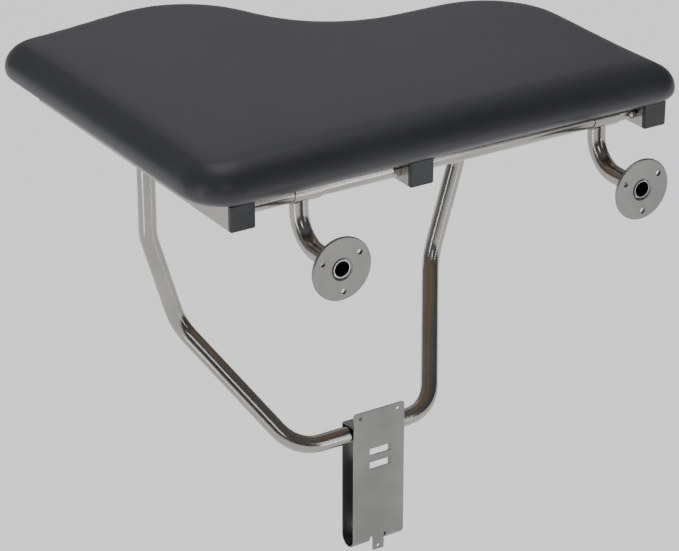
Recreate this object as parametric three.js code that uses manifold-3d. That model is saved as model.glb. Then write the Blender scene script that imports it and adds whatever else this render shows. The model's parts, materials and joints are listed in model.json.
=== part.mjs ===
// Wall-mounted fold-up shower seat with a leg loop that runs in a wall guide.
// Millimetres, +Z up. The wall is the plane Y = 0 and the seat reaches out along -Y.
// The origin lies on the wall, midway between the centres of the two flanges.
// "Left" is +X and "right" is -X, as seen from the wall side.
import * as THREE from "three";
import { mergeVertices } from "three/addons/utils/BufferGeometryUtils.js";
import Module from "manifold-3d";

const wasm = await Module();
wasm.setup();

// ---------- driving dimensions ----------
const GAP = 0.3; // left between pieces that touch
const TUBE_RADIUS = 11.1; // crossbar, arms and leg loop
const TUBE_BORE = 9.6;

const FLANGES = { left: 208.5, right: -208.5 };
const FLANGE = { radius: 38.1, thickness: 4.8, holeCircle: 27.8, holeRadius: 3.5, firstHole: 34.5 };
const FLANGE_RING_RADIUS = 14; // edge of the chamfer round the bore, on the wall side

const HINGE = { y: -92, z: 60 };
const SLEEVE = { radius: 12.7, bore: 11.5, length: 36, shift: -6.9 };
const ARM_BEND_RADIUS = 40;

const RAIL_SIZE = 31.75;
const RAIL_WALL = 1.6;
const RAIL_CORNER = 2;
const RAIL_START = -61.6; // Y of the cap faces at the wall end
const CAP_LIP = 5;
const CAP_PLUG = 18;
const RAILS = {
  left: { x: 297.8, end: -531.6, screwX: 297.8, screws: [-120, -310, -490] },
  middle: { x: 62.3, end: -491.6, screwX: 62.3, screws: [-120, -440] },
  right: { x: -272.9, end: -316.6, screwX: -267.9, screws: [-120, -270] },
};

// The seat's widest outline, corner by corner, with the radius of each corner.
const SEAT_CORNERS = [
  { x: 357.6, y: -44.1, radius: 55 },
  { x: 357.6, y: -564.1, radius: 46 },
  { x: 66.5, y: -608.9, radius: 140 },
  { x: -18.9, y: -402.2, radius: 136 },
  { x: -303.5, y: -402.2, radius: 120 },
  { x: -303.5, y: -44.1, radius: 27 },
];
const SMALLEST_CORNER = 10;
const LOWER_ROLL = { inset: 23.5, rise: 15.5 };
const UPPER_ROLL = { inset: 35.8, rise: 30.9 };
const BOARD = { inset: 27, thickness: 12 };

const LEG_X = 39.5;
const LEG_PIVOT = { halfWidth: 225, y: -350, z: 56 };
const LEG_CORNERS = [
  { halfWidth: 225, y: -350, z: 65 },
  { halfWidth: 225, y: -350, z: -79.6, bend: 60, steps: 3 },
  { halfWidth: 187, y: -350, z: -207.6, bend: 60, steps: 4 },
  { halfWidth: 98.3, y: -217.6, z: -348.7, bend: 52, steps: 6 },
];
const LEG_PIN_RADIUS = 4;
const LEG_BUSH = { radius: 5.5, bore: 4.3, flangeRadius: 8, flange: 1, length: 6 };
const BRACKET = { sheet: 2.5, inside: 25.6, length: 36, bottom: 45, screwReach: 12 };

const GUIDE = { x: 25.6, width: 75, back: -203.8, sheet: 1.6, channel: 24.2, top: -315.7, height: 194.5 };
const GUIDE_LIP = { drop: 20, freeEdge: 0.7, bend: 2.6 };
const GUIDE_SLOT = { shift: -2, halfWidth: 15.6, halfHeight: 4.8, drops: [59, 78.5] };
const GUIDE_FRONT_SLOT = { shift: -6, halfWidth: 25, halfHeight: 5, drops: [76.4, 95.8] };
const GUIDE_HOLES = { radius: 2.5, fromSide: 9.8, drop: 8 };
const GUIDE_CORNER = 4.5;
const GUIDE_TAB = { halfWidth: 8.15, relief: 4, below: 8, holeRadius: 2.4, holeRise: 5 };

// ---------- places that follow from them ----------
const RAIL_TOP = HINGE.z + RAIL_SIZE / 2;
const SEAT_BOTTOM = RAIL_TOP + GAP;
const SEAT_WIDEST = SEAT_BOTTOM + LOWER_ROLL.rise;
const BRACKET_BASE = RAIL_TOP - BRACKET.sheet;

// ---------- materials ----------
const tubeSteel = new THREE.MeshStandardMaterial({ color: 0xb4b2ac, roughness: 0.3, metalness: 1 });
const sheetSteel = new THREE.MeshStandardMaterial({ color: 0x8d8c8a, roughness: 0.45, metalness: 1 });
const screwSteel = new THREE.MeshStandardMaterial({ color: 0xc9c8c4, roughness: 0.25, metalness: 1 });
const capPlastic = new THREE.MeshStandardMaterial({ color: 0x2c2e33, roughness: 0.5, metalness: 0 });
const bushNylon = new THREE.MeshStandardMaterial({ color: 0xd9d6cc, roughness: 0.6, metalness: 0 });
const boardPly = new THREE.MeshStandardMaterial({ color: 0x6b5236, roughness: 0.8, metalness: 0 });
const padVinyl = new THREE.MeshStandardMaterial({ color: 0x2b2a2f, roughness: 0.45, metalness: 0 });

const seat = new THREE.Group();
seat.name = "wall_shower_seat";

// ---------- shape helpers ----------
function facingOut(geometry) {
  const bare = geometry.clone();
  bare.deleteAttribute("normal");
  bare.deleteAttribute("uv");
  const merged = mergeVertices(bare, 1e-3);
  const order = merged.index.array;
  const at = (i) => new THREE.Vector3().fromBufferAttribute(merged.attributes.position, order[i]);
  let volume = 0;
  for (let i = 0; i < order.length; i += 3) volume += at(i).dot(at(i + 1).cross(at(i + 2)));
  if (volume < 0) {
    for (let i = 0; i < order.length; i += 3) {
      [order[i + 1], order[i + 2]] = [order[i + 2], order[i + 1]];
    }
  }
  return merged;
}

function toSolid(geometry) {
  const merged = facingOut(geometry);
  const vertProperties = new Float32Array(merged.attributes.position.array);
  const triVerts = new Uint32Array(merged.index.array);
  return new wasm.Manifold(new wasm.Mesh({ numProp: 3, vertProperties, triVerts }));
}

function toGeometry(solid) {
  const made = solid.getMesh();
  const geometry = new THREE.BufferGeometry();
  geometry.setAttribute("position", new THREE.BufferAttribute(made.vertProperties.slice(), 3));
  geometry.setIndex(new THREE.BufferAttribute(made.triVerts.slice(), 1));
  return geometry;
}

function cut(base, tools) {
  return toGeometry(tools.reduce((left, tool) => left.subtract(toSolid(tool)), toSolid(base)));
}

function join(pieces) {
  const [first, ...others] = pieces.map(toSolid);
  return toGeometry(others.reduce((all, piece) => all.add(piece), first));
}

function addPiece(name, geometry, material) {
  const shown = facingOut(geometry).toNonIndexed();
  shown.computeVertexNormals();
  const mesh = new THREE.Mesh(shown, material);
  mesh.name = name;
  seat.add(mesh);
}

// A box between two values on each axis.
function box(x1, x2, y1, y2, z1, z2) {
  const made = new THREE.BoxGeometry(Math.abs(x2 - x1), Math.abs(y2 - y1), Math.abs(z2 - z1));
  return made.translate((x1 + x2) / 2, (y1 + y2) / 2, (z1 + z2) / 2);
}

// A body of revolution from a closed profile of [radius, along] points, about the axis given.
function turned(axis, profile, sides = 20) {
  const points = profile.map(([radius, along]) => new THREE.Vector2(radius, along));
  const onAxis = profile[0][0] === 0 && profile[profile.length - 1][0] === 0;
  if (!onAxis) points.push(points[0].clone());
  const made = new THREE.LatheGeometry(points, sides);
  if (axis === "x") made.rotateZ(-Math.PI / 2);
  if (axis === "z") made.rotateX(Math.PI / 2);
  return made;
}

// A cylinder along an axis, between two values on it.
function rod(axis, radius, from, to, sides = 20) {
  return turned(axis, [[0, from], [radius, from], [radius, to], [0, to]], sides);
}

function ring(axis, outer, inner, from, to, sides = 20) {
  return turned(axis, [[inner, from], [outer, from], [outer, to], [inner, to]], sides);
}

// A closed solid through rings of equal length; each ring is a list of points at a level.
function stack(rings) {
  const clockwise = THREE.ShapeUtils.isClockWise(rings[0].points);
  const loops = rings.map(({ points }) => (clockwise ? [...points].reverse() : points));
  const size = loops[0].length;
  const positions = rings.flatMap(({ level }, r) => loops[r].flatMap((p) => [p.x, p.y, level]));
  const index = [];
  for (let r = 0; r < rings.length - 1; r++) {
    for (let i = 0; i < size; i++) {
      const a = r * size + i;
      const b = r * size + ((i + 1) % size);
      index.push(a, b, a + size, b, b + size, a + size);
    }
  }
  const last = (rings.length - 1) * size;
  for (const [a, b, c] of THREE.ShapeUtils.triangulateShape(loops[0], [])) {
    index.push(a, c, b);
  }
  for (const [a, b, c] of THREE.ShapeUtils.triangulateShape(loops.at(-1), [])) {
    index.push(last + a, last + b, last + c);
  }
  const made = new THREE.BufferGeometry();
  made.setAttribute("position", new THREE.Float32BufferAttribute(positions, 3));
  made.setIndex(index);
  return made;
}

// A polygon with round corners, listed anticlockwise; its length depends on the steps only.
function roundedPolygon(corners, steps) {
  const points = [];
  corners.forEach(({ x, y, radius }, i) => {
    const here = new THREE.Vector2(x, y);
    const before = corners[(i + corners.length - 1) % corners.length];
    const after = corners[(i + 1) % corners.length];
    const back = new THREE.Vector2(before.x, before.y).sub(here).normalize();
    const on = new THREE.Vector2(after.x, after.y).sub(here).normalize();
    const half = Math.acos(back.dot(on)) / 2;
    const middle = back.clone().add(on).normalize();
    const centre = here.clone().addScaledVector(middle, radius / Math.sin(half));
    const start = here.clone().addScaledVector(back, radius / Math.tan(half)).sub(centre);
    const sweep = (Math.PI - 2 * half) * Math.sign(on.cross(back));
    for (let k = 0; k <= steps; k++) {
      points.push(start.clone().rotateAround(new THREE.Vector2(), (sweep * k) / steps).add(centre));
    }
  });
  return points;
}

function squareRing(size, radius, steps = 2) {
  const half = size / 2;
  const signs = [[1, 1], [-1, 1], [-1, -1], [1, -1]];
  return roundedPolygon(signs.map(([a, b]) => ({ x: a * half, y: b * half, radius })), steps);
}

// Stacked rings turned to run out from the wall: the level becomes -Y.
function stackFromWall(rings, x, z) {
  return stack(rings).rotateX(Math.PI / 2).translate(x, 0, z);
}

// Stations along a line through corners with round bends: each a point and a direction.
function bentLine(corners) {
  const direction = (i) => corners[i + 1].at.clone().sub(corners[i].at).normalize();
  const stations = [{ point: corners[0].at, direction: direction(0) }];
  for (let i = 1; i < corners.length - 1; i++) {
    const { at, bend, steps } = corners[i];
    const before = direction(i - 1);
    const after = direction(i);
    const turn = before.angleTo(after);
    const side = after.clone().addScaledVector(before, -before.dot(after)).normalize();
    const start = at.clone().addScaledVector(before, -bend * Math.tan(turn / 2));
    for (let k = 0; k <= steps; k++) {
      const angle = (turn * k) / steps;
      const point = start.clone().addScaledVector(before, bend * Math.sin(angle));
      point.addScaledVector(side, bend * (1 - Math.cos(angle)));
      const along = before.clone().multiplyScalar(Math.cos(angle));
      along.addScaledVector(side, Math.sin(angle));
      stations.push({ point, direction: along });
    }
  }
  stations.push({ point: corners.at(-1).at, direction: direction(corners.length - 2) });
  return stations;
}

// A curve that stops only at its stations, so that a straight stretch costs one step.
class StationCurve extends THREE.Curve {
  constructor(stations) {
    super();
    this.stations = stations;
  }
  station(share) {
    return this.stations[Math.round(share * (this.stations.length - 1))];
  }
  getPointAt(share) {
    return this.station(share).point.clone();
  }
  getTangentAt(share) {
    return this.station(share).direction.clone();
  }
}

function bentTube(corners, curveSegments) {
  const stations = bentLine(corners);
  const shape = new THREE.Shape().absarc(0, 0, TUBE_RADIUS, 0, 2 * Math.PI, false);
  shape.holes.push(new THREE.Path().absarc(0, 0, TUBE_BORE, 0, 2 * Math.PI, true));
  const extrudePath = new StationCurve(stations);
  return new THREE.ExtrudeGeometry(shape, { extrudePath, steps: stations.length - 1, curveSegments });
}

// ---------- wall flanges, arms and hinge sleeves ----------
function makeFlange(side) {
  const x = FLANGES[side];
  const { radius, thickness, holeCircle, holeRadius, firstHole } = FLANGE;
  const bore = TUBE_RADIUS + GAP;
  const profile = [
    [bore, -thickness],
    [radius - 2, -thickness],
    [radius - 0.6, -thickness + 0.7],
    [radius, -thickness + 2],
    [radius, -0.8],
    [radius - 0.8, 0],
    [FLANGE_RING_RADIUS, 0],
    [bore, -1.8],
  ];
  const holes = [0, 120, 240].map((turn) => {
    const angle = THREE.MathUtils.degToRad(firstHole + turn);
    const hole = rod("y", holeRadius, -thickness - 2, 2, 12);
    return hole.translate(x - holeCircle * Math.cos(angle), 0, holeCircle * Math.sin(angle));
  });
  const disc = turned("y", profile, 40).translate(x, 0, 0);
  addPiece(`wall_flange_${side}`, cut(disc, holes), sheetSteel);
}

function makeArm(side) {
  const x = FLANGES[side];
  const corners = [
    { at: new THREE.Vector3(x, -0.8, 0) },
    { at: new THREE.Vector3(x, HINGE.y, 0), bend: ARM_BEND_RADIUS, steps: 7 },
    { at: new THREE.Vector3(x, HINGE.y, HINGE.z) },
  ];
  const cope = rod("x", SLEEVE.radius + GAP, x - 30, x + 30, 24).translate(0, HINGE.y, HINGE.z);
  addPiece(`arm_${side}`, cut(bentTube(corners, 8), [cope]), tubeSteel);
}

function makeSleeve(side) {
  const { radius, bore, length, shift } = SLEEVE;
  const from = FLANGES[side] + shift - length / 2;
  const to = from + length;
  const profile = [
    [bore, from],
    [radius - 0.5, from],
    [radius, from + 0.5],
    [radius, to - 0.5],
    [radius - 0.5, to],
    [bore, to],
  ];
  const sleeve = turned("x", profile, 24).translate(0, HINGE.y, HINGE.z);
  addPiece(`hinge_sleeve_${side}`, sleeve, tubeSteel);
}

// ---------- crossbars and their set screw ----------
function makeCrossbars() {
  const half = RAIL_SIZE / 2 + GAP;
  const lengths = {
    left: [RAILS.middle.x + half, RAILS.left.x - half],
    right: [RAILS.right.x + half, RAILS.middle.x - half],
  };
  const screwX = RAILS.right.x + RAIL_SIZE / 2 + 5;
  for (const [side, [from, to]] of Object.entries(lengths)) {
    const tube = ring("x", TUBE_RADIUS, TUBE_BORE, from, to, 24).translate(0, HINGE.y, HINGE.z);
    const hole = rod("y", 2.3, 0, 20, 12).translate(screwX, HINGE.y, HINGE.z);
    const made = side === "right" ? cut(tube, [hole]) : tube;
    addPiece(`crossbar_${side}`, made, tubeSteel);
  }
  const seatOfHead = TUBE_RADIUS + GAP;
  const profile = [
    [0, seatOfHead - 6],
    [2, seatOfHead - 6],
    [2, seatOfHead],
    [4, seatOfHead],
    [3.6, seatOfHead + 1.8],
    [2, seatOfHead + 3],
    [0, seatOfHead + 3],
  ];
  const screw = turned("y", profile, 12).translate(screwX, HINGE.y, HINGE.z);
  addPiece("crossbar_set_screw", screw, screwSteel);
}

// ---------- rails, their caps and screws ----------
function makeRail(side) {
  const { x, end, screwX, screws } = RAILS[side];
  const start = -RAIL_START + CAP_LIP + GAP;
  const stop = -end - CAP_LIP - GAP;
  const outer = squareRing(RAIL_SIZE, RAIL_CORNER);
  const inner = squareRing(RAIL_SIZE - 2 * RAIL_WALL, 0.8);
  const bar = [{ points: outer, level: start }, { points: outer, level: stop }];
  const inside = [{ points: inner, level: start - 5 }, { points: inner, level: stop + 5 }];
  const holes = screws.flatMap((y) => [
    rod("z", 2.8, HINGE.z, RAIL_TOP + 4, 10).translate(screwX, y, 0),
    rod("z", 5, HINGE.z - 20, HINGE.z, 14).translate(screwX, y, 0),
  ]);
  const made = cut(stackFromWall(bar, x, HINGE.z), [stackFromWall(inside, x, HINGE.z), ...holes]);
  addPiece(`rail_${side}`, made, tubeSteel);
  addPiece(`cap_${side}_wall_end`, makeCap(x, -RAIL_START, 1), capPlastic);
  addPiece(`cap_${side}_room_end`, makeCap(x, -end, -1), capPlastic);
  screws.forEach((y, i) => {
    addPiece(`rail_screw_${side}_${i + 1}`, makeRailScrew(screwX, y), screwSteel);
  });
}

// Direction is 1 where the plug reaches into the room and -1 where it reaches towards the wall.
function makeCap(x, face, direction) {
  const plug = RAIL_SIZE - 2 * RAIL_WALL - 2 * GAP;
  const rings = [
    { points: squareRing(RAIL_SIZE - 2, 1.2), level: 0 },
    { points: squareRing(RAIL_SIZE, RAIL_CORNER), level: 1.2 },
    { points: squareRing(RAIL_SIZE, RAIL_CORNER), level: CAP_LIP },
    { points: squareRing(plug, 1), level: CAP_LIP },
    { points: squareRing(plug, 1), level: CAP_LIP + CAP_PLUG - 1 },
    { points: squareRing(plug - 1.6, 0.6), level: CAP_LIP + CAP_PLUG },
  ].map(({ points, level }) => ({ points, level: face + direction * level }));
  return stackFromWall(rings, x, HINGE.z);
}

function makeRailScrew(x, y) {
  const headTop = RAIL_TOP - RAIL_WALL - GAP;
  const tip = SEAT_BOTTOM + BOARD.thickness - 2;
  const profile = [
    [0, headTop - 3],
    [3, headTop - 3],
    [4.5, headTop - 1.6],
    [4.5, headTop],
    [2.5, headTop],
    [2.5, tip - 1.5],
    [0, tip],
  ];
  return turned("z", profile, 10).translate(x, y, 0);
}

// ---------- board and cushion ----------
// The seat outline moved inwards by an inset, with the same number of points for every inset.
function outlineRing(inset) {
  const count = SEAT_CORNERS.length;
  const outwardNormal = (i) => {
    const from = SEAT_CORNERS[i % count];
    const to = SEAT_CORNERS[(i + 1) % count];
    return new THREE.Vector2(from.y - to.y, to.x - from.x).normalize();
  };
  const corners = SEAT_CORNERS.map(({ x, y, radius }, i) => {
    const before = outwardNormal(i + count - 1);
    const after = outwardNormal(i);
    const reach = inset / (1 + before.dot(after));
    const convex = before.cross(after) < 0;
    return {
      x: x - reach * (before.x + after.x),
      y: y - reach * (before.y + after.y),
      radius: convex ? Math.max(radius - inset, SMALLEST_CORNER) : radius + inset,
    };
  });
  return roundedPolygon(corners.reverse(), 7);
}

function makeBoardAndCushion() {
  const top = SEAT_BOTTOM + BOARD.thickness;
  const ringAt = (inset, level) => ({ points: outlineRing(inset), level });
  const board = stack([ringAt(BOARD.inset, SEAT_BOTTOM), ringAt(BOARD.inset, top)]);
  const holes = [];
  for (const { screwX, screws } of Object.values(RAILS)) {
    for (const y of screws) {
      holes.push(rod("z", 2.8, SEAT_BOTTOM - 2, top - 1.5, 10).translate(screwX, y, 0));
    }
  }
  for (const side of [-1, 1]) {
    for (const reach of [-BRACKET.screwReach, BRACKET.screwReach]) {
      const hole = rod("z", 2.3, SEAT_BOTTOM - 2, top - 1.5, 10);
      holes.push(hole.translate(LEG_X + side * LEG_PIVOT.halfWidth, LEG_PIVOT.y + reach, 0));
    }
  }
  addPiece("seat_board", cut(board, holes), boardPly);

  const roll = (degrees, { inset, rise }) => {
    const angle = THREE.MathUtils.degToRad(degrees);
    return ringAt(inset * (1 - Math.cos(angle)), SEAT_WIDEST + rise * Math.sin(angle));
  };
  const body = stack([
    roll(-90, LOWER_ROLL),
    roll(-55, LOWER_ROLL),
    roll(-25, LOWER_ROLL),
    roll(0, UPPER_ROLL),
    roll(22, UPPER_ROLL),
    roll(44, UPPER_ROLL),
    roll(66, UPPER_ROLL),
    roll(90, UPPER_ROLL),
  ]);
  const pocketInset = BOARD.inset - GAP;
  const pocket = stack([ringAt(pocketInset, SEAT_BOTTOM - 2), ringAt(pocketInset, top + GAP)]);
  addPiece("seat_cushion", cut(body, [pocket]), padVinyl);
}

// ---------- leg pivots: bracket, pin, screws and bushes ----------
// Outboard is +X on the left side and -X on the right side.
function makeLegPivot(side) {
  const outboard = side === "left" ? 1 : -1;
  const x = LEG_X + outboard * LEG_PIVOT.halfWidth;
  const { y, z } = LEG_PIVOT;
  const inner = BRACKET.inside / 2;
  const outer = inner + BRACKET.sheet;
  const reach = BRACKET.length / 2;
  const block = box(x - outer, x + outer, y - reach, y + reach, BRACKET.bottom, RAIL_TOP);
  const clear = box(x - inner, x + inner, y - reach - 1, y + reach + 1, BRACKET.bottom - 1, BRACKET_BASE);
  const pinHole = rod("x", LEG_PIN_RADIUS + GAP, x - 20, x + 20, 16).translate(0, y, z);
  const screwHoles = [-1, 1].map((sign) =>
    rod("z", 2.3, BRACKET_BASE - 1, RAIL_TOP + 1, 12).translate(x, y + sign * BRACKET.screwReach, 0),
  );
  addPiece(`leg_bracket_${side}`, cut(block, [clear, pinHole, ...screwHoles]), sheetSteel);

  const headSeat = -outboard * (outer + GAP);
  const rivetSeat = outboard * (outer + GAP);
  const pin = [
    [0, headSeat - outboard * 3],
    [5.5, headSeat - outboard * 3],
    [6.5, headSeat - outboard * 2],
    [6.5, headSeat],
    [LEG_PIN_RADIUS, headSeat],
    [LEG_PIN_RADIUS, rivetSeat],
    [5, rivetSeat],
    [4.4, rivetSeat + outboard],
    [0, rivetSeat + outboard],
  ];
  addPiece(`leg_pin_${side}`, turned("x", pin, 16).translate(x, y, z), screwSteel);

  const headTop = BRACKET_BASE - GAP;
  const tip = SEAT_BOTTOM + BOARD.thickness - 2;
  const screw = [
    [0, headTop - 2.2],
    [2.4, headTop - 2.2],
    [4, headTop - 1],
    [4, headTop],
    [2, headTop],
    [2, tip - 1.5],
    [0, tip],
  ];
  [-1, 1].forEach((sign, i) => {
    const made = turned("z", screw, 10).translate(x, y + sign * BRACKET.screwReach, 0);
    addPiece(`bracket_screw_${side}_${i + 1}`, made, screwSteel);
  });

  for (const [place, way] of [["outboard", outboard], ["inboard", -outboard]]) {
    const flangeSeat = TUBE_RADIUS + GAP;
    const bush = [
      [LEG_BUSH.bore, way * (flangeSeat - LEG_BUSH.length)],
      [LEG_BUSH.radius, way * (flangeSeat - LEG_BUSH.length)],
      [LEG_BUSH.radius, way * flangeSeat],
      [LEG_BUSH.flangeRadius, way * flangeSeat],
      [LEG_BUSH.flangeRadius, way * (flangeSeat + LEG_BUSH.flange)],
      [LEG_BUSH.bore, way * (flangeSeat + LEG_BUSH.flange)],
    ];
    const made = turned("x", bush, 16).translate(x, y, z);
    addPiece(`leg_bush_${side}_${place}`, made, bushNylon);
  }
}

// ---------- leg loop ----------
function makeLeg() {
  const place = ({ halfWidth, y, z, bend, steps }, sign) => {
    return { at: new THREE.Vector3(LEG_X + sign * halfWidth, y, z), bend, steps };
  };
  const down = LEG_CORNERS.map((corner) => place(corner, 1));
  const up = LEG_CORNERS.map((corner) => place(corner, -1)).reverse();
  const tube = bentTube([...down, ...up], 9);
  const bores = [-1, 1].map((sign) => {
    const x = LEG_X + sign * LEG_PIVOT.halfWidth;
    return rod("x", LEG_BUSH.radius + GAP, x - 15, x + 15, 16).translate(0, LEG_PIVOT.y, LEG_PIVOT.z);
  });
  addPiece("leg_loop", cut(tube, bores), tubeSteel);
}

// ---------- wall guide ----------
function arcPoints(y, z, radius, fromDegrees, toDegrees, steps) {
  return Array.from({ length: steps + 1 }, (_, k) => {
    const angle = THREE.MathUtils.degToRad(fromDegrees + ((toDegrees - fromDegrees) * k) / steps);
    return new THREE.Vector2(y + radius * Math.cos(angle), z + radius * Math.sin(angle));
  });
}

// The folded strip from its side: down the wall plate, round the fold, up the front, over the lip.
function guideProfile() {
  const { back, sheet, channel, top, height } = GUIDE;
  const outer = channel / 2 + sheet;
  const inner = channel / 2;
  const middle = back - outer;
  const foldZ = top - height + outer;
  const front = back - 2 * outer;
  const lipTop = top - GUIDE_LIP.drop;
  const lipEnd = back - sheet - GUIDE_LIP.freeEdge;
  const { bend } = GUIDE_LIP;
  return [
    new THREE.Vector2(back, top),
    ...arcPoints(middle, foldZ, outer, 0, -180, 12),
    ...arcPoints(front + bend, lipTop - bend, bend, 180, 90, 3),
    new THREE.Vector2(lipEnd, lipTop),
    new THREE.Vector2(lipEnd, lipTop - sheet),
    ...arcPoints(front + bend, lipTop - bend, bend - sheet, 90, 180, 3),
    ...arcPoints(middle, foldZ, inner, -180, 0, 12),
    new THREE.Vector2(back - sheet, top),
  ];
}

// What is taken off a top corner of the wall plate to round it, for the +X side, at the origin.
function cornerNick(from, to) {
  const r = GUIDE_CORNER;
  const outside = [[-r, 2], [2, 2], [2, -r]].map(([a, b]) => new THREE.Vector2(a, b));
  const points = [...arcPoints(-r, -r, r, 0, 90, 6), ...outside];
  return stackFromWall([{ points, level: -to }, { points, level: -from }], 0, 0);
}

function makeGuide() {
  const { x, width, back, sheet, channel, top, height } = GUIDE;
  const half = width / 2;
  const outer = channel / 2 + sheet;
  const foldZ = top - height + outer;
  const front = back - 2 * outer;
  const ends = [x - half, x + half].map((level) => ({ points: guideProfile(), level }));
  const axes = [new THREE.Vector3(0, 1, 0), new THREE.Vector3(0, 0, 1), new THREE.Vector3(1, 0, 0)];
  const strip = stack(ends).applyMatrix4(new THREE.Matrix4().makeBasis(...axes));

  const slots = (plateY, { shift, halfWidth, halfHeight, drops }) =>
    drops.map((drop) => {
      const slot = box(-halfWidth, halfWidth, plateY - 5, plateY + 5, -halfHeight, halfHeight);
      return slot.translate(x + shift, 0, top - drop);
    });
  const cuts = [...slots(back, GUIDE_SLOT), ...slots(front, GUIDE_FRONT_SLOT)];
  for (const sign of [-1, 1]) {
    const hole = rod("y", GUIDE_HOLES.radius, back - 5, back + 5, 14);
    cuts.push(hole.translate(x + sign * (half - GUIDE_HOLES.fromSide), 0, top - GUIDE_HOLES.drop));
    const nick = cornerNick(back - 5, back + 5).scale(sign, 1, 1);
    cuts.push(nick.translate(x + sign * half, 0, top));
  }
  const windowHalf = GUIDE_TAB.halfWidth + GUIDE_TAB.relief;
  const windowEnd = back - outer - outer * Math.sin(THREE.MathUtils.degToRad(15));
  cuts.push(box(x - windowHalf, x + windowHalf, windowEnd, back + 5, foldZ - 2 * outer, foldZ));

  const tabBottom = top - height - GUIDE_TAB.below;
  const tabEdges = [x - GUIDE_TAB.halfWidth, x + GUIDE_TAB.halfWidth];
  const tab = box(...tabEdges, back - sheet, back, tabBottom, foldZ + 2);
  const tabHole = rod("y", GUIDE_TAB.holeRadius, back - 5, back + 5, 14);
  tabHole.translate(x, 0, tabBottom + GUIDE_TAB.holeRise);
  addPiece("leg_guide", cut(join([cut(strip, cuts), tab]), [tabHole]), sheetSteel);
}

for (const side of ["left", "right"]) {
  makeFlange(side);
  makeArm(side);
  makeSleeve(side);
  makeLegPivot(side);
}
makeCrossbars();
for (const side of Object.keys(RAILS)) makeRail(side);
makeBoardAndCushion();
makeLeg();
makeGuide();

export default seat;
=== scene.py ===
"""A wall-mounted folding shower seat: finishes, soft cushion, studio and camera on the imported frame."""

import json
import math

import bmesh
import bpy
import numpy as np
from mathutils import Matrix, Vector

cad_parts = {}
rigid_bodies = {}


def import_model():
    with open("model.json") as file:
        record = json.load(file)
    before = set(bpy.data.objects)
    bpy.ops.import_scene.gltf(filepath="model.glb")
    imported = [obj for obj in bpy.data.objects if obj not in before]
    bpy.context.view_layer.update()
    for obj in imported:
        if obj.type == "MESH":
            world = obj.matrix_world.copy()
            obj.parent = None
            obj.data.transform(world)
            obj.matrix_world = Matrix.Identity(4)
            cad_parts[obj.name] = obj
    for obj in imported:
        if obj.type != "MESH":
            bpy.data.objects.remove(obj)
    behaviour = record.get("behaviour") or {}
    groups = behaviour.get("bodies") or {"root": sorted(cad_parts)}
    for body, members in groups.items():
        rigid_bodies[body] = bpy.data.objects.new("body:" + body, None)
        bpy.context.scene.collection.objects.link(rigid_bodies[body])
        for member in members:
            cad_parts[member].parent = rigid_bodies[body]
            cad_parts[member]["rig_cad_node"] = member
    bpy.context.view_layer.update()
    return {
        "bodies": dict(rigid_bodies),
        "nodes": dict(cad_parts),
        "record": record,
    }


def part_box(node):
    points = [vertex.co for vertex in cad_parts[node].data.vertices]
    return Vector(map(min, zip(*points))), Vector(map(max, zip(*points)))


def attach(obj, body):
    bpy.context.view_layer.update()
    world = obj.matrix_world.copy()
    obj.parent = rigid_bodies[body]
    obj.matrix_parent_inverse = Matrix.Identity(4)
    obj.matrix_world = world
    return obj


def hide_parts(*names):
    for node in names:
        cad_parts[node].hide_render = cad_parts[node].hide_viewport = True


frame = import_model()
NODES = frame["nodes"]
BODY_OF = {node: body for body, empty in frame["bodies"].items()
           for node in [o["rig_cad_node"] for o in empty.children]}
SLOT_OF = {s["node"]: s["material_slot"] for s in frame["record"]["subparts"]}
MM = 0.001


# ---------- node material helpers ----------
class Graph:
    """A material with a Principled shader, and short calls that add and link nodes."""

    def __init__(self, name):
        self.material = bpy.data.materials.new(name)
        self.material.use_nodes = True
        self.nodes = self.material.node_tree.nodes
        self.links = self.material.node_tree.links
        self.shader = self.nodes["Principled BSDF"]
        self.place = self.add("ShaderNodeTexCoord").outputs["Object"]

    def add(self, kind, **settings):
        node = self.nodes.new(kind)
        for key, value in settings.items():
            setattr(node, key, value)
        return node

    def put(self, node, socket, value):
        """Set a socket to a number or colour, or link another socket to it."""
        if isinstance(value, bpy.types.NodeSocket):
            self.links.new(value, node.inputs[socket])
        else:
            node.inputs[socket].default_value = value

    def set(self, **values):
        """Principled inputs by name, with an underscore for each space."""
        for key, value in values.items():
            self.put(self.shader, key.replace("_", " "), value)

    def scaled(self, x, y, z):
        node = self.add("ShaderNodeMapping")
        self.put(node, "Vector", self.place)
        node.inputs["Scale"].default_value = (x, y, z)
        return node.outputs["Vector"]

    def noise(self, vector, scale, detail=3.0, roughness=0.5):
        node = self.add("ShaderNodeTexNoise")
        self.put(node, "Vector", vector)
        self.put(node, "Scale", scale)
        self.put(node, "Detail", detail)
        self.put(node, "Roughness", roughness)
        return node.outputs["Fac"]

    def spread(self, value, low, high, start=0.3, end=0.7):
        """A value mapped from start..end to low..high, clamped."""
        node = self.add("ShaderNodeMapRange")
        self.put(node, "Value", value)
        self.put(node, "From Min", start)
        self.put(node, "From Max", end)
        self.put(node, "To Min", low)
        self.put(node, "To Max", high)
        return node.outputs["Result"]

    def mixed(self, factor, first, second):
        node = self.add("ShaderNodeMix", data_type="RGBA")
        self.put(node, 0, factor)
        self.put(node, 6, first)
        self.put(node, 7, second)
        return node.outputs[2]

    def plus(self, first, second, operation="ADD"):
        node = self.add("ShaderNodeMath", operation=operation)
        self.put(node, 0, first)
        self.put(node, 1, second)
        return node.outputs[0]

    def bump(self, height, distance, strength=1.0):
        node = self.add("ShaderNodeBump")
        self.put(node, "Height", height)
        self.put(node, "Distance", distance)
        self.put(node, "Strength", strength)
        self.put(self.shader, "Normal", node.outputs["Normal"])


def colour(red, green, blue):
    return (red, green, blue, 1.0)


GRINDING_DEPTH = 0.01 * MM


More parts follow.
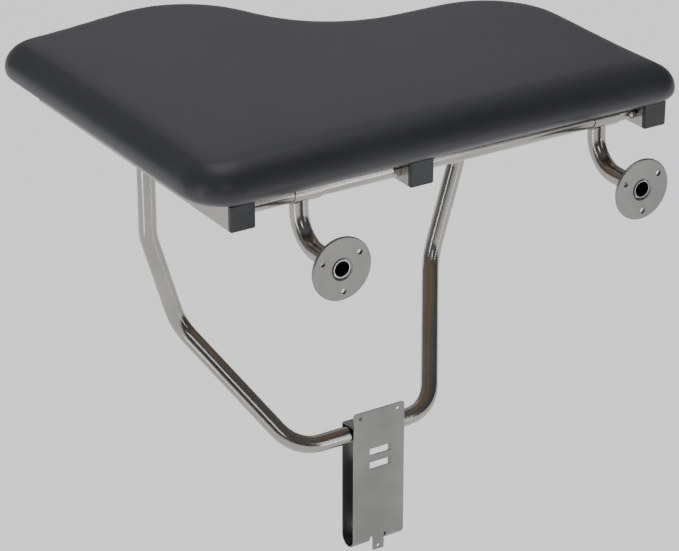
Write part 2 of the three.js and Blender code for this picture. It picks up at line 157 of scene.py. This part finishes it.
def steel(name, dark, light, roughness, grain):
    """Polished or ground steel. The grain is the stretch of the polishing lines along X, Y and Z."""
    g = Graph(name)
    lines = g.noise(g.scaled(*grain), 1.0, 4.0, 0.6)
    cloud = g.noise(g.place, 14.0, 2.0)
    g.set(
        Base_Color=g.mixed(g.spread(cloud, 0.0, 1.0), colour(*dark), colour(*light)),
        Metallic=1.0,
        Roughness=g.plus(g.spread(lines, roughness - 0.05, roughness + 0.05), g.spread(cloud, -0.02, 0.03)),
    )
    g.bump(lines, GRINDING_DEPTH, 0.5)
    return g.material


def moulded(name, dark, light, roughness, grain_per_metre):
    """Moulded plastic with a fine spark-eroded texture."""
    g = Graph(name)
    fine = g.noise(g.place, grain_per_metre, 2.0)
    cloud = g.noise(g.place, 30.0, 2.0)
    g.set(
        Base_Color=g.mixed(g.spread(cloud, 0.0, 1.0), colour(*dark), colour(*light)),
        Roughness=g.spread(fine, roughness - 0.06, roughness + 0.08),
        Metallic=0.0,
    )
    g.bump(fine, 0.00004, 0.7)
    return g.material


def vinyl():
    """Upholstery vinyl: a pebble grain, slightly uneven sheen and faint pull marks."""
    g = Graph("cushion_vinyl")
    cells = g.add("ShaderNodeTexVoronoi", feature="DISTANCE_TO_EDGE")
    g.put(cells, "Vector", g.place)
    g.put(cells, "Scale", 620.0)
    pebble = g.spread(cells.outputs["Distance"], 0.0, 1.0, 0.0, 0.22)
    soft = g.noise(g.place, 7.0, 3.0)
    fine = g.noise(g.place, 900.0, 2.0)
    g.set(
        Base_Color=g.mixed(
            g.spread(soft, 0.0, 1.0), colour(0.022, 0.0225, 0.028), colour(0.029, 0.0295, 0.036)
        ),
        Roughness=g.plus(g.spread(pebble, 0.50, 0.42, 0.0, 1.0), g.spread(soft, -0.03, 0.03)),
        Metallic=0.0,
        Specular_IOR_Level=0.5,
        Sheen_Weight=0.06,
        Sheen_Roughness=0.5,
        Coat_Weight=0.08,
        Coat_Roughness=0.3,
    )
    g.bump(g.plus(pebble, g.plus(fine, 0.35, "MULTIPLY")), 0.00006, 0.5)
    return g.material


def plywood():
    """Board with a long grain along Y and darker end rings."""
    g = Graph("seat_board")
    grain = g.noise(g.scaled(140.0, 6.0, 300.0), 1.0, 5.0, 0.6)
    g.set(
        Base_Color=g.mixed(g.spread(grain, 0.0, 1.0), colour(0.20, 0.13, 0.075), colour(0.36, 0.26, 0.16)),
        Roughness=g.spread(grain, 0.7, 0.85),
        Metallic=0.0,
    )
    g.bump(grain, 0.0001, 0.5)
    return g.material


MATERIALS = {
    "tube_steel": steel(
        "tube_steel", (0.31, 0.30, 0.28), (0.37, 0.36, 0.34), 0.2, (700.0, 700.0, 700.0)
    ),
    "sheet_steel": steel(
        "sheet_steel", (0.21, 0.21, 0.206), (0.28, 0.28, 0.272), 0.4, (900.0, 900.0, 30.0)
    ),
    "fastener_steel": steel(
        "fastener_steel", (0.58, 0.57, 0.54), (0.7, 0.69, 0.66), 0.2, (400.0, 400.0, 400.0)
    ),
    "cap_plastic": moulded(
        "cap_plastic", (0.018, 0.020, 0.024), (0.025, 0.027, 0.032), 0.42, 2500.0
    ),
    "bush_nylon": moulded("bush_nylon", (0.62, 0.6, 0.55), (0.72, 0.7, 0.65), 0.5, 1500.0),
    "seat_board": plywood(),
    "cushion_vinyl": vinyl(),
}


def finish_piece(obj, slot, body):
    obj.data.materials.clear()
    obj.data.materials.append(MATERIALS[slot])
    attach(obj, body)
    return obj


# ---------- hard pieces: the CAD shape with worked edges and true smooth curves ----------
EDGE_ANGLE = math.radians(32)
FLAT_ANGLE = math.radians(0.4)


def mesh_copy(node, name, whole_faces=True):
    """A copy of a CAD node's mesh with its split corners welded and, if asked, its flat faces whole."""
    made = bmesh.new()
    made.from_mesh(NODES[node].data)
    bmesh.ops.remove_doubles(made, verts=made.verts, dist=0.000002)
    bmesh.ops.dissolve_degenerate(made, dist=0.000001, edges=made.edges)
    if whole_faces:
        bmesh.ops.dissolve_limit(
            made, angle_limit=FLAT_ANGLE, verts=made.verts, edges=made.edges, delimit={"SEAM"}
        )
    mesh = bpy.data.meshes.new(name)
    made.to_mesh(mesh)
    made.free()
    obj = bpy.data.objects.new(name, mesh)
    bpy.context.scene.collection.objects.link(obj)
    return obj


def apply_modifiers(obj):
    bpy.context.view_layer.update()
    shown = obj.evaluated_get(bpy.context.evaluated_depsgraph_get())
    mesh = bpy.data.meshes.new_from_object(shown)
    old = obj.data
    obj.modifiers.clear()
    obj.data = mesh
    bpy.data.meshes.remove(old)


def smooth(obj, angle=EDGE_ANGLE):
    obj.data.polygons.foreach_set("use_smooth", [True] * len(obj.data.polygons))
    obj.data.set_sharp_from_angle(angle=angle)


def worked(node, edge, segments=2):
    """The piece for a CAD node: its edges rounded by the given radius and its curves shaded smooth."""
    obj = mesh_copy(node, "worked_" + node, whole_faces=bool(edge))
    if edge:
        bevel = obj.modifiers.new("edges", "BEVEL")
        bevel.width = edge
        bevel.segments = segments
        bevel.limit_method = "ANGLE"
        bevel.angle_limit = EDGE_ANGLE
        bevel.use_clamp_overlap = True
        apply_modifiers(obj)
    smooth(obj)
    flat = obj.modifiers.new("flat", "WEIGHTED_NORMAL")
    flat.keep_sharp = True
    flat.weight = 100
    apply_modifiers(obj)
    finish_piece(obj, SLOT_OF[node], BODY_OF[node])
    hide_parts(node)
    return obj


EDGES = {
    "wall_flange": 0.5 * MM,
    "arm": 0.2 * MM,
    "hinge_sleeve": 0.25 * MM,
    "crossbar_set": 0.3 * MM,
    "crossbar": 0.2 * MM,
    "rail_screw": 0.25 * MM,
    "rail": 0.2 * MM,
    "cap": 0.4 * MM,
    "leg_bracket": 0.4 * MM,
    "leg_pin": 0.3 * MM,
    "leg_bush": 0.15 * MM,
    "leg_loop": 0.2 * MM,
    "leg_guide": 0.0,
    "bracket_screw": 0.2 * MM,
    "seat_board": 0.6 * MM,
}
for node in sorted(NODES):
    if node == "seat_cushion":
        continue
    edge = next(size for start, size in EDGES.items() if node.startswith(start))
    worked(node, edge)


# ---------- the cushion ----------
PAD_VOXEL = 5 * MM
PAD_DRAWN_IN = 0.3 * MM  # how far inside the CAD solid the pad starts
PAD_PRESSURE = 4.0
PAD_FRAMES = 20
PAD_STRETCH = 25.0
PAD_BENDING = 4.0
MOST_MOVEMENT = 6.0 * MM
EVENING_PASSES = 200
EVENING_SHARE = 0.6  # how far each pass moves a point's movement towards its neighbours'
COVER_THICKNESS = 1.8 * MM
UNDERSIDE_CLEARANCE = 0.2 * MM
HELD_ABOVE_UNDERSIDE = 6 * MM
HELD_ABOVE_BOARD = 3 * MM
HELD_ROUND_BOARD = 8 * MM
PAD_SMOOTH_ANGLE = math.radians(80)


def is_over_board(point):
    low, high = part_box("seat_board")
    margin = HELD_ROUND_BOARD
    return low.x - margin < point.x < high.x + margin and low.y - margin < point.y < high.y + margin


def hold_underside(obj, start, underside):
    """Pin the part of the pad that is glued to the board."""
    board_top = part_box("seat_board")[1].z
    pinned = [
        i for i, p in enumerate(start)
        if p.z < underside + HELD_ABOVE_UNDERSIDE or (p.z < board_top + HELD_ABOVE_BOARD and is_over_board(p))
    ]
    obj.vertex_groups.new(name="held").add(pinned, 1.0, "REPLACE")


def settle_foam(mesh, start):
    """Keep the simulated movement softly below a limit, and even it out over the foam."""
    home = np.array([tuple(p) for p in start])
    now = np.empty(len(mesh.vertices) * 3)
    mesh.vertices.foreach_get("co", now)
    moved = now.reshape(-1, 3) - home
    ends = np.empty(len(mesh.edges) * 2, dtype=np.int32)
    mesh.edges.foreach_get("vertices", ends)
    first, second = ends.reshape(-1, 2).T
    count = len(home)
    links = np.bincount(first, minlength=count) + np.bincount(second, minlength=count)

    length = np.linalg.norm(moved, axis=1, keepdims=True) + 1e-9
    moved = moved * (MOST_MOVEMENT * np.tanh(length / MOST_MOVEMENT) / length)
    for _ in range(EVENING_PASSES):
        around = np.stack([
            np.bincount(first, moved[second, k], count) + np.bincount(second, moved[first, k], count)
            for k in range(3)
        ], axis=1)
        moved = (1 - EVENING_SHARE) * moved + EVENING_SHARE * around / links[:, None]
    mesh.vertices.foreach_set("co", (home + moved).ravel())
    mesh.update()


def blow_up(obj, underside):
    """Run the pad as cloth under pressure, then settle the foam."""
    start = [v.co.copy() for v in obj.data.vertices]
    hold_underside(obj, start, underside)
    cloth = obj.modifiers.new("cloth", "CLOTH")
    cloth.settings.vertex_group_mass = "held"
    cloth.settings.use_pressure = True
    cloth.settings.uniform_pressure_force = PAD_PRESSURE
    cloth.settings.effector_weights.gravity = 0.0
    cloth.settings.quality = 5
    cloth.settings.tension_stiffness = PAD_STRETCH
    cloth.settings.compression_stiffness = PAD_STRETCH
    cloth.settings.bending_stiffness = PAD_BENDING
    cloth.point_cache.frame_start = 1
    cloth.point_cache.frame_end = PAD_FRAMES
    for frame_number in range(1, PAD_FRAMES + 1):
        bpy.context.scene.frame_set(frame_number)
    apply_modifiers(obj)
    settle_foam(obj.data, start)
    bpy.context.scene.frame_set(1)
    obj.vertex_groups.clear()


def smoothing(obj, name, passes):
    modifier = obj.modifiers.new(name, "SMOOTH")
    modifier.factor = 0.5
    modifier.iterations = passes


def moved_out(obj, name, distance):
    modifier = obj.modifiers.new(name, "DISPLACE")
    modifier.strength = distance
    modifier.mid_level = 0.0


def cushion():
    """Foam and vinyl pad: the CAD solid remeshed, drawn in, blown up, evened out and covered."""
    obj = mesh_copy("seat_cushion", "cushion_pad")
    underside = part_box("seat_cushion")[0].z
    made = bmesh.new()
    made.from_mesh(obj.data)
    bmesh.ops.triangulate(made, faces=made.faces)
    made.normal_update()
    made.to_mesh(obj.data)
    made.free()
    remesh = obj.modifiers.new("remesh", "REMESH")
    remesh.mode = "VOXEL"
    remesh.voxel_size = PAD_VOXEL
    apply_modifiers(obj)
    smoothing(obj, "relax", 2)
    moved_out(obj, "draw_in", -PAD_DRAWN_IN)
    apply_modifiers(obj)
    blow_up(obj, underside)
    smoothing(obj, "settle", 1)
    moved_out(obj, "cover", COVER_THICKNESS)
    finer = obj.modifiers.new("finer", "SUBSURF")
    finer.levels = finer.render_levels = 1
    apply_modifiers(obj)
    lowest = underside + UNDERSIDE_CLEARANCE
    for vertex in obj.data.vertices:
        if vertex.co.z < lowest:
            vertex.co.z = lowest
    smooth(obj, PAD_SMOOTH_ANGLE)
    finish_piece(obj, "cushion_vinyl", "seat")
    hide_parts("seat_cushion")


cushion()


# ---------- floor, lights and world ----------
def plane(name, size, z):
    made = bmesh.new()
    bmesh.ops.create_grid(made, x_segments=1, y_segments=1, size=size / 2)
    mesh = bpy.data.meshes.new(name)
    made.to_mesh(mesh)
    made.free()
    obj = bpy.data.objects.new(name, mesh)
    obj.location.z = z
    bpy.context.scene.collection.objects.link(obj)
    return obj


FLOOR_SIZE = 90.0
FLOOR_LEVEL = -4.0  # low enough to leave the seat in sight from below

floor = plane("floor", FLOOR_SIZE, FLOOR_LEVEL)
g = Graph("pale_floor")
g.set(
    Base_Color=g.mixed(g.noise(g.place, 2.0), colour(0.92, 0.92, 0.92), colour(0.94, 0.94, 0.94)),
    Roughness=0.9,
    Specular_IOR_Level=0.0,
    Emission_Color=colour(1.0, 1.0, 1.0),
    Emission_Strength=0.9,
)
floor.data.materials.append(g.material)


AIM = (0.0, -0.25, 0.0)


def area_light(name, place, size, power):
    """A rectangular lamp that looks at the middle of the seat."""
    data = bpy.data.lights.new(name, "AREA")
    data.shape = "RECTANGLE"
    data.size, data.size_y = size
    data.energy = power
    lamp = bpy.data.objects.new(name, data)
    lamp.location = place
    lamp.rotation_mode = "QUATERNION"
    lamp.rotation_quaternion = (Vector(AIM) - Vector(place)).to_track_quat("-Z", "Y")
    bpy.context.scene.collection.objects.link(lamp)


area_light("top", (0.0, -0.5, 2.6), (1.8, 1.8), 22.0)
area_light("room", (-1.2, -2.8, 1.5), (2.2, 1.0), 3.0)
area_light("wall_side", (1.4, 2.8, 1.7), (0.5, 1.6), 9.0)
area_light("strip_left", (2.3, 0.3, 0.0), (0.18, 2.2), 9.0)
area_light("strip_right", (-1.1, 2.0, -0.1), (0.14, 2.2), 5.0)

world = bpy.data.worlds.new("studio")
world.use_nodes = True
bpy.context.scene.world = world
tree = world.node_tree
place = tree.nodes.new("ShaderNodeTexCoord")
split = tree.nodes.new("ShaderNodeSeparateXYZ")
tree.links.new(place.outputs["Generated"], split.inputs["Vector"])


def sky(axis, from_value, to_value, low, high):
    """World brightness that goes from low to high between two values of the direction on one axis."""
    node = tree.nodes.new("ShaderNodeMapRange")
    node.interpolation_type = "SMOOTHSTEP"
    tree.links.new(split.outputs[axis], node.inputs["Value"])
    for socket, value in zip(("From Min", "From Max", "To Min", "To Max"), (from_value, to_value, low, high)):
        node.inputs[socket].default_value = value
    return node.outputs["Result"]


both = tree.nodes.new("ShaderNodeMath")
both.operation = "ADD"
tree.links.new(sky("Y", 0.5, -0.8, 0.10, 0.26), both.inputs[0])
tree.links.new(sky("Z", 0.0, 1.0, 0.0, 0.10), both.inputs[1])
shade = tree.nodes["Background"]
shade.inputs["Color"].default_value = colour(0.98, 0.985, 1.0)
tree.links.new(both.outputs[0], shade.inputs["Strength"])

# ---------- camera ----------
LENS = 140.5
SENSOR_WIDTH = 36.0
CAMERA_PLACE = (1.6192, 2.2338, 1.2300)
CAMERA_WAY = (-0.4826, -0.7663, -0.4242)

camera_data = bpy.data.cameras.new("camera")
camera_data.lens = LENS
camera_data.sensor_width = SENSOR_WIDTH
camera = bpy.data.objects.new("camera", camera_data)
camera.location = CAMERA_PLACE
camera.rotation_mode = "QUATERNION"
camera.rotation_quaternion = Vector(CAMERA_WAY).to_track_quat("-Z", "Y")
bpy.context.scene.collection.objects.link(camera)
bpy.context.scene.camera = camera

bpy.context.view_layer.update()
